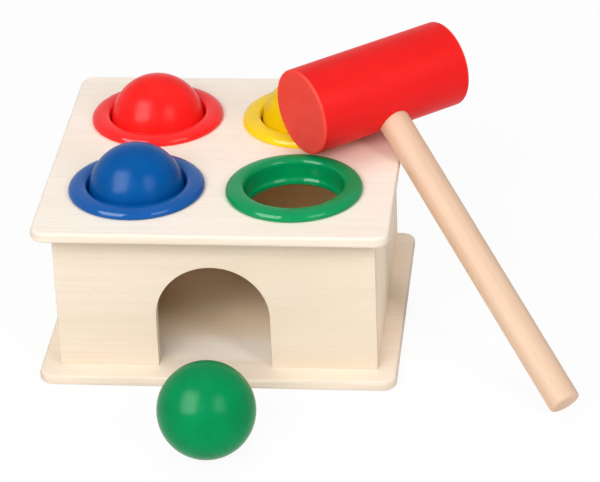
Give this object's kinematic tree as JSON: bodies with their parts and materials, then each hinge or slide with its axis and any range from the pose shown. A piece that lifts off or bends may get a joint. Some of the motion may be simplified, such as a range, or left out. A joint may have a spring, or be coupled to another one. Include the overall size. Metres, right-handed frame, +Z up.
{
  "type": "ball pounding toy",
  "caption": "Wooden box toy with coloured balls held in plastic rings over holes, an arched exit in its front wall, and a mallet to pound the balls through.",
  "frame": {"origin": "on the underside of the base board, below the middle of the box that the four walls make; the surface that the toy stands on is Z = 0", "axes": "+X to the right as seen from the arched front, +Y from the arched front to the back, +Z up"},
  "size_m": [0.2531, 0.2397, 0.1311],
  "materials": {
    "wood_pale": "satin",
    "wood_handle": "satin",
    "paint_head": "satin",
    "paint_red": "satin",
    "paint_yellow": "satin",
    "paint_blue": "satin",
    "paint_green": "satin",
    "plastic_red": "gloss",
    "plastic_yellow": "gloss",
    "plastic_blue": "gloss",
    "plastic_green": "gloss",
    "steel": "satin"
  },
  "bodies": {
    "box": {"base_board": "wood_pale", "top_board": "wood_pale", "front_wall": "wood_pale", "back_wall": "wood_pale", "left_wall": "wood_pale", "right_wall": "wood_pale", "red_ring": "plastic_red", "yellow_ring": "plastic_yellow", "blue_ring": "plastic_blue", "green_ring": "plastic_green", "screw_front_left": "steel", "screw_front_right": "steel", "screw_back_left": "steel", "screw_back_right": "steel", "screw_left_front": "steel", "screw_left_back": "steel", "screw_right_front": "steel", "screw_right_back": "steel"},
    "red_ball": {"red_ball": "paint_red"},
    "yellow_ball": {"yellow_ball": "paint_yellow"},
    "blue_ball": {"blue_ball": "paint_blue"},
    "green_ball": {"green_ball": "paint_green"},
    "hammer": {"hammer_head": "paint_head", "hammer_handle": "wood_handle"}
  },
  "joints": [
    {"name": "red_ball_drop", "type": "slide", "parent": "box", "child": "red_ball", "axis": [0, 0, 1], "range_m": [-0.0545, 0.05], "deforming": ["red_ring"]},
    {"name": "blue_ball_drop", "type": "slide", "parent": "box", "child": "blue_ball", "axis": [0, 0, 1], "range_m": [-0.0545, 0.05], "deforming": ["blue_ring"]},
    {"name": "yellow_ball_drop", "type": "slide", "parent": "box", "child": "yellow_ball", "axis": [0, 0, 1], "range_m": [-0.0545, 0], "deforming": ["yellow_ring"]},
    {"name": "green_ball_roll", "type": "slide", "parent": "box", "child": "green_ball", "axis": [0, 1, 0], "range_m": [-0.12, 0.04]},
    {"name": "hammer_lift", "type": "slide", "parent": "box", "child": "hammer", "axis": [0, 0, 1], "range_m": [0, 0.15]}
  ]
}
